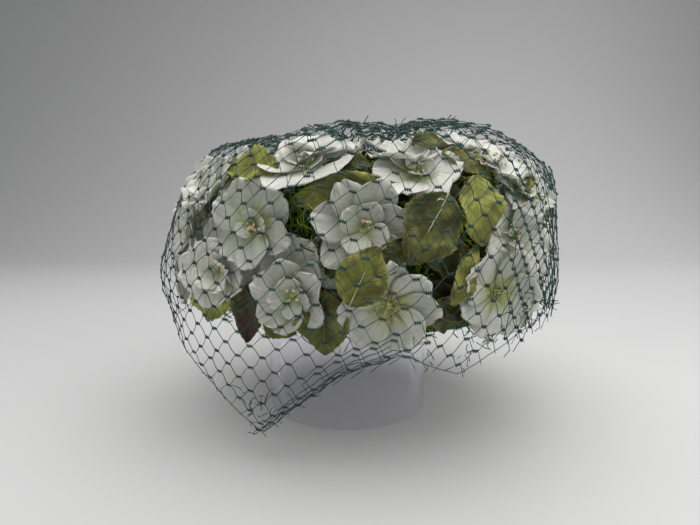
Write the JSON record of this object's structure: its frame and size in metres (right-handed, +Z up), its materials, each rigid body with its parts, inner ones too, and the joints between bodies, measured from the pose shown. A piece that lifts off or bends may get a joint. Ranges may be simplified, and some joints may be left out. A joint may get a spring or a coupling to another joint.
{
  "type": "pillbox hat on a display stand",
  "caption": "Drum-shaped pillbox hat of white satin blossoms and olive leaves over a mossy crown, under a dark green net veil, resting on a clear display ring.",
  "frame": {"origin": "on the table, under the middle of the whole piece's box", "axes": "+Z up, the hat's front faces -Y"},
  "size_m": [0.2606, 0.2604, 0.1897],
  "materials": {
    "clear_plastic": "clear sheet plastic with a faint lilac tint, polished",
    "moss_fibre": "dark moss green fibre laid over the crown",
    "white_satin": "stiffened off-white satin and organza petals with green-yellow throats",
    "leaf_cloth": "starched olive cloth leaves with pressed veins",
    "veil_net": "dark bluish green knotted net"
  },
  "bodies": {
    "root": {"stand_ring": "clear_plastic", "crown": "moss_fibre", "blossom_01": "white_satin", "blossom_02": "white_satin", "blossom_03": "white_satin", "blossom_04": "white_satin", "blossom_05": "white_satin", "blossom_06": "white_satin", "blossom_07": "white_satin", "blossom_08": "white_satin", "blossom_09": "white_satin", "blossom_10": "white_satin", "blossom_11": "white_satin", "blossom_12": "white_satin", "blossom_13": "white_satin", "blossom_14": "white_satin", "blossom_15": "white_satin", "blossom_16": "white_satin", "blossom_17": "white_satin", "blossom_18": "white_satin", "blossom_19": "white_satin", "blossom_20": "white_satin", "blossom_21": "white_satin", "blossom_22": "white_satin", "blossom_23": "white_satin", "blossom_24": "white_satin", "blossom_25": "white_satin", "blossom_26": "white_satin", "blossom_27": "white_satin", "blossom_28": "white_satin", "blossom_29": "white_satin", "blossom_30": "white_satin", "blossom_31": "white_satin", "blossom_32": "white_satin", "leaf_01": "leaf_cloth", "leaf_02": "leaf_cloth", "leaf_03": "leaf_cloth", "leaf_04": "leaf_cloth", "leaf_05": "leaf_cloth", "leaf_06": "leaf_cloth", "leaf_07": "leaf_cloth", "leaf_08": "leaf_cloth", "leaf_09": "leaf_cloth", "leaf_10": "leaf_cloth", "leaf_11": "leaf_cloth", "leaf_12": "leaf_cloth", "leaf_13": "leaf_cloth", "leaf_14": "leaf_cloth", "leaf_15": "leaf_cloth", "leaf_16": "leaf_cloth", "leaf_17": "leaf_cloth", "leaf_18": "leaf_cloth", "leaf_19": "leaf_cloth", "leaf_20": "leaf_cloth", "leaf_21": "leaf_cloth", "leaf_22": "leaf_cloth", "leaf_23": "leaf_cloth", "leaf_24": "leaf_cloth", "leaf_25": "leaf_cloth", "veil": "veil_net"}
  },
  "joints": []
}
